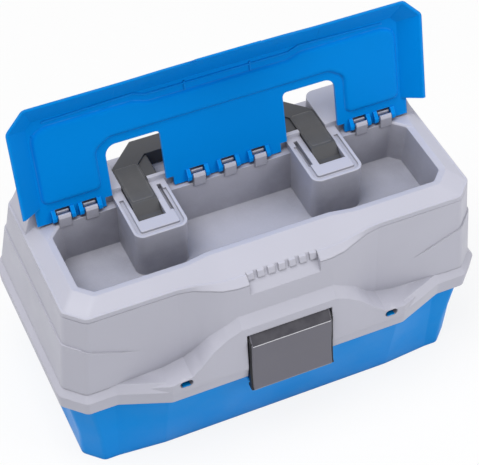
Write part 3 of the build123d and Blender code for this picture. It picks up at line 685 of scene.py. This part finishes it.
class Workshop:
    """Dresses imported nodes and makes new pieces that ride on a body."""

    def __init__(self) -> None:
        """Set up the finishes and the smoothing."""
        self._finishes = FinishShop(EffectShop())
        self._smoother = Smoother()

    def dress(self, node: str, coat: Coat) -> None:
        """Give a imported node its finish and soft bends.

        Args:
            node: Name of the node.
            coat: The finish to use.
        """
        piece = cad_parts[node]
        piece.data.materials.clear()
        piece.data.materials.append(self._finishes.material(coat))
        self._smoother.apply(piece)
        log.info("dressed %s with %s", node, coat.value)

    def make(self, name: str, body: str, coat: Coat, shape: Shape) -> None:
        """Add a new piece that rides on a body.

        Args:
            name: Name of the piece.
            body: Body that it rides on.
            coat: Its finish.
            shape: Points in metres, and faces as lists of point numbers.
        """
        points, faces = shape
        mesh = bpy.data.meshes.new(name)
        mesh.from_pydata(points, [], faces)
        mesh.validate()
        mesh.materials.append(self._finishes.material(coat))
        piece = placed(name, mesh)
        self._smoother.apply(piece)
        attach(piece, body)
        log.info("made %s on %s", name, body)


def skinned(rings: Sequence[Sequence[Vector]]) -> Shape:
    """Return a closed skin over rings of equal length, with its two ends filled.

    Args:
        rings: Rings of points, from one end of the form to the other.

    Returns:
        The points and the faces.
    """
    count = len(rings[0])
    points = [tuple(point) for ring in rings for point in ring]
    faces = [list(range(count))[::-1]]
    for level in range(len(rings) - 1):
        low, high = level * count, (level + 1) * count
        for index in range(count):
            after = (index + 1) % count
            faces.append([low + index, low + after, high + after, high + index])
    last = (len(rings) - 1) * count
    faces.append([last + index for index in range(count)])
    return points, faces


def rectangle(xs: Pair, ys: Pair) -> list[Pair]:
    """Return a rectangle's corners, counter-clockwise.

    Args:
        xs: Its two sides along the length, in either order.
        ys: Its front and its back.

    Returns:
        The corners.
    """
    left, right = sorted(xs)
    front, back = ys
    return [(left, front), (right, front), (right, back), (left, back)]


def rounded(path: Path, radii: Sequence[float], steps: int = ARC_STEPS) -> list[Pair]:
    """Return a closed path with its corners turned into arcs.

    Args:
        path: Corners in order.
        radii: Radius at each corner.
        steps: Number of straight pieces in each arc.

    Returns:
        The rounded path.
    """
    result = []
    count = len(path)
    for index, (corner, radius) in enumerate(zip(path, radii)):
        here = Vector(corner)
        back = (Vector(path[index - 1]) - here).normalized()
        ahead = (Vector(path[(index + 1) % count]) - here).normalized()
        half = back.angle(ahead) / 2
        centre = here + (back + ahead).normalized() * (radius / sin(half))
        start = here + back * (radius / tan(half)) - centre
        end = here + ahead * (radius / tan(half)) - centre
        first = atan2(start.y, start.x)
        sweep = (atan2(end.y, end.x) - first + pi) % (2 * pi) - pi
        for step in range(steps + 1):
            turn = first + sweep * step / steps
            result.append((centre.x + radius * cos(turn), centre.y + radius * sin(turn)))
    return result


def widened(path: Path, amount: float) -> list[Pair]:
    """Return a closed path moved outward by an amount.

    Args:
        path: Points in order, counter-clockwise.
        amount: Distance to move, negative for inward.

    Returns:
        The moved path.
    """
    result = []
    count = len(path)
    for index, corner in enumerate(path):
        here = Vector(corner)
        into = (here - Vector(path[index - 1])).normalized()
        out = (Vector(path[(index + 1) % count]) - here).normalized()
        normal = Vector((into.y + out.y, -into.x - out.x)).normalized()
        stretch = amount / max(normal.dot(Vector((into.y, -into.x))), MITRE_LEAST)
        result.append((here.x + normal.x * stretch, here.y + normal.y * stretch))
    return result


def stacked(path: Path, levels: Path) -> Shape:
    """Return a level outline raised through several heights.

    Args:
        path: Outline in x and y, counter-clockwise, in millimetres.
        levels: How far the outline moves outward, and its height, from the lowest level up.

    Returns:
        The points and the faces.
    """
    rings = []
    for amount, z in levels:
        rings.append([Vector((x, y, z)) * MM for x, y in widened(path, amount)])
    return skinned(rings)


def bead(path: Sequence[Vector], up: Vector, radius: float) -> Shape:
    """Return a thin round bead along an open path, with flat ends.

    Args:
        path: Points of the bead's middle line, in metres.
        up: A direction square to the path.
        radius: Radius of the bead, in metres.

    Returns:
        The points and the faces.
    """
    turns = [2 * pi * side / BEAD_SIDES for side in range(BEAD_SIDES)]
    rings = []
    for index, middle in enumerate(path):
        before = path[max(index - 1, 0)]
        after = path[min(index + 1, len(path) - 1)]
        along = (after - before).normalized()
        across = up.cross(along).normalized()
        rings.append([middle + (across * cos(turn) + up * sin(turn)) * radius for turn in turns])
    return skinned(rings)


@dataclass
class Tub:
    """The blue tub with its hinge pins and link rivets."""

    def build(self, shop: Workshop) -> None:
        """Dress the tub's nodes.

        Args:
            shop: Where finishes and pieces come from.
        """
        shop.dress("base_tub", Coat.TUB)
        for side in SIDES:
            shop.dress(f"hinge_pin_{side}", Coat.PIN)
            shop.dress(f"link_rivet_{side}", Coat.PIN)


@dataclass
class MainLid:
    """The grey main lid with its pins and the blue liners of its padlock slots.

    Attributes:
        slot_x: Place of a slot along the length, either side of the middle.
        liner_half: Half of a liner's width.
        liner_front: Front end of a liner.
        liner_back: Back end of a liner, inside the slot.
        liner_low: Underside of a liner, below the slot's floor.
        liner_top: Top of a liner.
        liner_bevel: Bevel round a liner's top.
    """

    slot_x: float = 81.0
    liner_half: float = 3.1
    liner_front: float = -98.4
    liner_back: float = -80.0
    liner_low: float = 82.2
    liner_top: float = 83.65
    liner_bevel: float = 0.3

    def build(self, shop: Workshop) -> None:
        """Dress the lid's nodes and line its slots.

        Args:
            shop: Where finishes and pieces come from.
        """
        shop.dress("lid_shell", Coat.LID)
        shop.dress("latch_pin", Coat.PIN)
        for side, sign in zip(SIDES, SIGNS):
            shop.dress(f"handle_pin_{side}", Coat.PIN)
            shop.dress(f"tray_pin_{side}", Coat.PIN)
            shop.make(f"slot_liner_{side}", "lid", Coat.TUB, self._liner(sign * self.slot_x))

    def _liner(self, middle: float) -> Shape:
        """Return the strip that lies on the floor of one padlock slot.

        Args:
            middle: The slot's place along the length.

        Returns:
            The points and the faces.
        """
        xs = (middle - self.liner_half, middle + self.liner_half)
        outline = rectangle(xs, (self.liner_front, self.liner_back))
        levels = (
            (0.0, self.liner_low),
            (0.0, self.liner_top - self.liner_bevel),
            (-self.liner_bevel, self.liner_top),
        )
        return stacked(outline, levels)


@dataclass
class FlipTop:
    """The blue flip top, with the soft pressed panel and the fine ridges of its underside.

    Places on it are given by x, by the reach from the hinge and by the height over the hinge's plane.

    Attributes:
        hinge_y: Place of the hinge line from front to back.
        hinge_z: Height of the hinge line.
        open_angle: Angle in degrees from closed to open, as the model stands.
        underside: Height of the underside.
        panel_half: Right half of the panel's outline, as x and reach.
        panel_foot: Reach of the panel's edge beside the clips.
        panel_cover: How far the border spreads past the outline.
        panel_corner: Radius of the corners at the panel's foot.
        panel_bend: Radius of its other bends.
        panel_border: How far each ring of the border moves outward, and its height.
        ridge_half: Right half of the long ridge, as x and reach.
        ridge_radius: Radius of the ridges.
        tick_x: Place of a short ridge along the length, either side of the middle.
        tick_reaches: Reach of both ends of a short ridge.
    """

    hinge_y: float = 11.0
    hinge_z: float = 171.0
    open_angle: float = 104.7
    underside: float = -0.8
    panel_half: Path = (
        (84.5, 51.1),
        (96.4, 44.1),
        (96.4, 13.5),
        (138.0, 13.5),
        (138.0, 68.0),
        (127.0, 71.5),
        (64.0, 71.5),
        (53.0, 68.0),
    )
    panel_foot: float = 13.5
    panel_cover: float = 1.5
    panel_corner: float = 4.0
    panel_bend: float = 9.0
    panel_border: Path = (
        (0.0, -0.95),
        (-0.5, -0.5),
        (-1.4, 0.5),
        (-2.0, 1.0),
        (-2.8, 1.3),
        (-3.8, 1.4),
        (-5.0, 1.42),
    )
    ridge_half: Path = ((54.0, 74.2), (63.0, 77.4), (129.0, 75.5))
    ridge_radius: float = 0.8
    tick_x: float = 25.0
    tick_reaches: Pair = (69.0, 76.0)

    def place(self, x: float, reach: float, height: float) -> Vector:
        """Return a place on the open flip top.

        Args:
            x: Place along the length.
            reach: Distance from the hinge line along the plate.
            height: Distance out of the plate, on the underside.

        Returns:
            The point in metres.
        """
        lean = radians(self.open_angle - 90.0)
        y = self.hinge_y + reach * sin(lean) - height * cos(lean)
        z = self.hinge_z + reach * cos(lean) + height * sin(lean)
        return Vector((x, y, z)) * MM

    def build(self, shop: Workshop) -> None:
        """Dress the flip top and add its panel and ridges.

        Args:
            shop: Where finishes and pieces come from.
        """
        shop.dress("flip_lid", Coat.FLIP)
        shop.make("flip_panel", "flip", Coat.FLIP, self._panel())
        up = (self.place(0.0, 0.0, 1.0) - self.place(0.0, 0.0, 0.0)).normalized()
        for name, points in self._ridges().items():
            path = [self.place(x, reach, self.underside) for x, reach in points]
            shop.make(name, "flip", Coat.FLIP, bead(path, up, self.ridge_radius * MM))

    @staticmethod
    def _mirrored(half: Path) -> list[Pair]:
        """Return the left half of a path whose right half is given."""
        return [(-x, reach) for x, reach in reversed(half)]

    def _panel(self) -> Shape:
        """Return the pressed panel with its soft border.

        Returns:
            The points and the faces.
        """
        outline = [*self.panel_half, *self._mirrored(self.panel_half)]
        radii = []
        for _, reach in outline:
            radii.append(self.panel_corner if reach == self.panel_foot else self.panel_bend)
        path = rounded(outline, radii)
        rings = []
        for amount, height in self.panel_border:
            ring = widened(path, self.panel_cover + amount)
            rings.append([self.place(x, reach, height) for x, reach in ring])
        return skinned(rings)

    def _ridges(self) -> dict[str, list[Pair]]:
        """Return the fine ridges of the underside, as x and reach.

        Returns:
            The ridges' paths by name.
        """
        ridges = {"flip_ridge": [*self._mirrored(self.ridge_half), *self.ridge_half]}
        for side, sign in zip(SIDES, SIGNS):
            ridges[f"flip_tick_{side}"] = [(sign * self.tick_x, reach) for reach in self.tick_reaches]
        return ridges


@dataclass
class Grip:
    """The dark fold-down handle with a smooth cover on each arm and a dark web in each inner corner,
    standing in for the shade there.

    Attributes:
        top: Height of the handle's top.
        cover_xs: Inner and outer side of a cover.
        cover_ys: Front and back of a cover.
        cover_corner: Radius of a cover's corners.
        cover_steps: Number of straight pieces in each of those corners.
        cover_border: How far each ring of a cover moves outward, and its rise over the top.
        web_xs: Inner and outer side of a web.
        web_ys: Front and back of a web.
        web_low: Underside of a web.
        web_top: Top of a web.
        web_bevel: Bevel round a web's top and underside.
    """

    top: float = 174.0
    cover_xs: Pair = (61.3, 78.7)
    cover_ys: Pair = (0.9, 36.8)
    cover_corner: float = 2.5
    cover_steps: int = 4
    cover_border: Path = ((0.0, -0.6), (0.0, 0.05), (-0.4, 0.2), (-1.2, 0.3), (-2.4, 0.34))
    web_xs: Pair = (50.6, 60.8)
    web_ys: Pair = (22.5, 44.5)
    web_low: float = 162.5
    web_top: float = 172.6
    web_bevel: float = 0.8

    def build(self, shop: Workshop) -> None:
        """Dress the handle and add the covers and the webs.

        Args:
            shop: Where finishes and pieces come from.
        """
        shop.dress("handle", Coat.GRIP)
        for side, sign in zip(SIDES, SIGNS):
            shop.make(f"grip_cover_{side}", "grip", Coat.GRIP, self._cover(sign))
            # Dark webs stand in for the shade in the inner corners
            shop.make(f"grip_shade_web_{side}", "grip", Coat.GRIP, self._web(sign))

    def _web(self, sign: float) -> Shape:
        """Return the dark web that fills the inner corner of one arm, standing in for the shade there.

        Args:
            sign: -1 for the left arm, 1 for the right one.

        Returns:
            The points and the faces.
        """
        inner, outer = self.web_xs
        outline = rectangle((sign * inner, sign * outer), self.web_ys)
        levels = (
            (-self.web_bevel, self.web_low),
            (0.0, self.web_low + self.web_bevel),
            (0.0, self.web_top - self.web_bevel),
            (-self.web_bevel, self.web_top),
        )
        return stacked(outline, levels)

    def _cover(self, sign: float) -> Shape:
        """Return the cover of one arm.

        Args:
            sign: -1 for the left arm, 1 for the right one.

        Returns:
            The points and the faces.
        """
        inner, outer = self.cover_xs
        outline = rectangle((sign * inner, sign * outer), self.cover_ys)
        path = rounded(outline, [self.cover_corner] * len(outline), self.cover_steps)
        return stacked(path, [(amount, self.top + rise) for amount, rise in self.cover_border])


@dataclass
class Catch:
    """The dark front latch: a frame painted near black as the shade in its side gaps, under a dished
    face, with a painted highlight along the upper edge and a brow painted dark as the shade under the
    lid.

    Attributes:
        half_width: Half of the face's width.
        profile: The face's outline as y and z, from the brow's head down the front and up the back.
        soft_end: Share of the half width, and how far the outline draws in there, towards one end.
        edge_radius: Radius of the painted highlight bead.
        edge_inset: How far the painted highlight bead stops short of the face's ends.
        edge_up: Direction that the painted highlight bead faces.
        brow_lift: Half of the brow's thickness.
        brow_head: Bare strip above the brow.
        brow_foot: Bare strip between the brow and the painted highlight bead.
        brow_inset: How far the brow stops short of the face's ends.
    """

    half_width: float = 31.4
    profile: Path = (
        (-94.2, 110.2),
        (-99.7, 102.2),
        (-100.8, 92.0),
        (-101.0, 83.0),
        (-101.8, 73.5),
        (-103.3, 64.5),
        (-104.6, 60.7),
        (-103.8, 58.8),
        (-100.5, 60.2),
        (-98.5, 64.0),
        (-97.5, 83.0),
        (-95.5, 100.0),
        (-93.0, 107.0),
    )
    soft_end: Path = ((0.98, 0.0), (0.994, 0.3), (1.0, 0.7))
    edge_radius: float = 0.3
    edge_inset: float = 1.0
    edge_up: Place = (0.0, -0.8, 0.6)
    brow_lift: float = 0.12
    brow_head: float = 0.3
    brow_foot: float = 0.5
    brow_inset: float = 0.9

    def build(self, shop: Workshop) -> None:
        """Dress the latch as a frame painted as the shade of its side gaps, and add its face, its
        painted highlight and its brow painted as shade.

        Args:
            shop: Where finishes and pieces come from.
        """
        # The latch body shows as painted shade in the gaps at its sides
        shop.dress("latch", Coat.LATCH_FRAME)
        shop.make("latch_face", "catch", Coat.LATCH_FACE, self._face())
        # The edge bead is a painted highlight
        shop.make("latch_edge", "catch", Coat.LATCH_EDGE, self._edge())
        # The brow is painted dark as the shade under the lid's roof
        shop.make("latch_brow", "catch", Coat.LATCH_BROW, self._brow())

    def _face(self) -> Shape:
        """Return the face with soft ends.

        Returns:
            The points and the faces.
        """
        left = [(-share, inset) for share, inset in reversed(self.soft_end)]
        rings = []
        for share, inset in (*left, *self.soft_end):
            ring = widened(self.profile, -inset)
            rings.append([Vector((share * self.half_width, y, z)) * MM for y, z in ring])
        return skinned(rings)

    def _edge(self) -> Shape:
        """Return the light bead painted as a highlight between the face and the brow.

        Returns:
            The points and the faces.
        """
        y, z = self.profile[1]
        reach = self.half_width - self.edge_inset
        path = [Vector((x, y, z)) * MM for x in (-reach, 0.0, reach)]
        return bead(path, Vector(self.edge_up), self.edge_radius * MM)

    def _brow(self) -> Shape:
        """Return the slope above the face, painted dark as the shade under the lid's roof.

        Returns:
            The points and the faces.
        """
        high, low = Vector(self.profile[0]), Vector(self.profile[1])
        slope = (low - high).normalized()
        out = Vector((slope.y, -slope.x)) * self.brow_lift
        start, end = high + slope * self.brow_head, low - slope * self.brow_foot
        ring = [start + out, end + out, end - out, start - out]
        half = self.half_width - self.brow_inset
        rings = [[Vector((x, spot.x, spot.y)) * MM for spot in ring] for x in (-half, half)]
        return skinned(rings)


@dataclass
class TrayAssembly:
    """The cantilever tray, its dividers, links and guide rivets.

    Attributes:
        dividers: Number of dividers.
    """

    dividers: int = 4

    def build(self, shop: Workshop) -> None:
        """Dress the tray's nodes.

        Args:
            shop: Where finishes and pieces come from.
        """
        shop.dress("tray", Coat.TRAY)
        for number in range(1, self.dividers + 1):
            shop.dress(f"tray_divider_{number}", Coat.TRAY)
        for side in SIDES:
            shop.dress(f"tray_link_{side}", Coat.LINK)
            shop.dress(f"guide_rivet_{side}", Coat.PIN)


@dataclass(frozen=True)
class Lamp:
    """One soft square lamp that points at the box.

    Attributes:
        name: Name of the lamp.
        place: Its position.
        power: Its power in watts.
        size: Its width.
    """

    name: str
    place: Place
    power: float
    size: float


@dataclass
class Studio:
    """Camera, floor and soft light.

    Attributes:
        camera_place: Camera position.
        azimuth: Camera azimuth in degrees, 0 looking along +Y.
        elevation: Camera height angle in degrees.
        sensor: Width of the camera's sensor in millimetres.
        lens: Focal length in millimetres.
        world_level: Strength of the even light from all round.
        lamps: The soft lamps.
        target: Where the lamps point.
        floor_size: Width of the floor.
        floor_colour: Colour of the floor, linear.
        floor_roughness: Roughness of the floor.
        floor_white: Share of plain white in what the camera sees of the floor.
    """

    camera_place: Place = (-0.3398, -0.7667, 0.9878)
    azimuth: float = -24.13
    elevation: float = 46.27
    sensor: float = 36.0
    lens: float = 122.75
    world_level: float = 0.42
    lamps: tuple[Lamp, ...] = (
        Lamp("key", (-0.6, -0.1, 2.05), 30.5, 1.3),
        Lamp("fill", (0.85, -0.75, 0.75), 4.5, 0.7),
    )
    target: Place = (0.0, 0.0, 0.1)
    floor_size: float = 8.0
    floor_colour: Rgba = (0.86, 0.86, 0.86, 1.0)
    floor_roughness: float = 0.9
    floor_white: float = 0.85

    def build(self) -> None:
        """Build the camera, the lamps, the world and the floor."""
        self._camera()
        for lamp in self.lamps:
            self._hang(lamp)
        self._world()
        self._floor()

    def _camera(self) -> None:
        """Place the camera at the photograph's angle."""
        data = bpy.data.cameras.new("camera")
        data.sensor_width = self.sensor
        data.sensor_fit = "HORIZONTAL"
        data.lens = self.lens
        camera = placed("camera", data)
        az, el = radians(self.azimuth), radians(self.elevation)
        forward = -Vector((sin(az) * cos(el), -cos(az) * cos(el), sin(el)))
        camera.location = self.camera_place
        camera.rotation_euler = forward.to_track_quat("-Z", "Y").to_euler()
        bpy.context.scene.camera = camera

    def _hang(self, lamp: Lamp) -> None:
        """Hang one lamp.

        Args:
            lamp: The lamp to hang.
        """
        data = bpy.data.lights.new(lamp.name, "AREA")
        data.energy = lamp.power
        data.size = lamp.size
        light = placed(lamp.name, data)
        light.location = lamp.place
        aim = Vector(self.target) - Vector(lamp.place)
        light.rotation_euler = aim.to_track_quat("-Z", "Y").to_euler()

    @staticmethod
    def _seen(tree: Tree) -> Socket:
        """Return a value that is 1 for camera, glossy and transmission rays.

        Args:
            tree: The node tree to add to.

        Returns:
            The value's socket.
        """
        path = tree.nodes.new("ShaderNodeLightPath")
        total = path.outputs["Is Camera Ray"]
        for label in ("Is Glossy Ray", "Is Transmission Ray"):
            largest = tree.nodes.new("ShaderNodeMath")
            largest.operation = "MAXIMUM"
            tree.links.new(total, largest.inputs[0])
            tree.links.new(path.outputs[label], largest.inputs[1])
            total = largest.outputs["Value"]
        return total

    def _world(self) -> None:
        """Set the even light, with a white background where it is seen."""
        world = bpy.data.worlds.new("studio")
        bpy.context.scene.world = world
        world.use_nodes = True
        tree = world.node_tree
        sky = tree.nodes["Background"]
        sky.inputs["Color"].default_value = WHITE
        level = tree.nodes.new("ShaderNodeMapRange")
        level.inputs["To Min"].default_value = self.world_level
        level.inputs["To Max"].default_value = 1.0
        tree.links.new(self._seen(tree), level.inputs["Value"])
        tree.links.new(level.outputs["Result"], sky.inputs["Strength"])

    def _floor(self) -> None:
        """Lay the pale floor, which keeps a light shadow."""
        half = self.floor_size / 2
        mesh = bpy.data.meshes.new("floor")
        corners = [(x, y, 0.0) for x, y in rectangle((-half, half), (-half, half))]
        mesh.from_pydata(corners, [], [(0, 1, 2, 3)])
        mesh.materials.append(self._floor_material())
        floor = placed("floor", mesh)

    def _floor_material(self) -> bpy.types.Material:
        """Return the floor's material, which looks nearly white to the camera.

        Returns:
            The material.
        """
        material = bpy.data.materials.new("floor")
        material.use_nodes = True
        tree = material.node_tree
        shader = tree.nodes["Principled BSDF"]
        shader.inputs["Base Color"].default_value = self.floor_colour
        shader.inputs["Roughness"].default_value = self.floor_roughness
        white = tree.nodes.new("ShaderNodeEmission")
        share = tree.nodes.new("ShaderNodeMath")
        share.operation = "MULTIPLY"
        share.inputs[1].default_value = self.floor_white
        tree.links.new(self._seen(tree), share.inputs[0])
        blend = tree.nodes.new("ShaderNodeMixShader")
        tree.links.new(share.outputs["Value"], blend.inputs["Fac"])
        tree.links.new(shader.outputs["BSDF"], blend.inputs[1])
        tree.links.new(white.outputs["Emission"], blend.inputs[2])
        surface = tree.nodes["Material Output"].inputs["Surface"]
        tree.links.new(blend.outputs["Shader"], surface)
        return material


def main() -> None:
    """Build the studio and dress the box, piece by piece."""
    logging.basicConfig(level=logging.INFO, format="%(message)s")
    bpy.context.scene.view_settings.view_transform = "Standard"
    Studio().build()
    shop = Workshop()
    for assembly in (Tub(), MainLid(), FlipTop(), Grip(), Catch(), TrayAssembly()):
        assembly.build(shop)
        log.info("built %s", type(assembly).__name__)


if __name__ == "__main__":
    main()
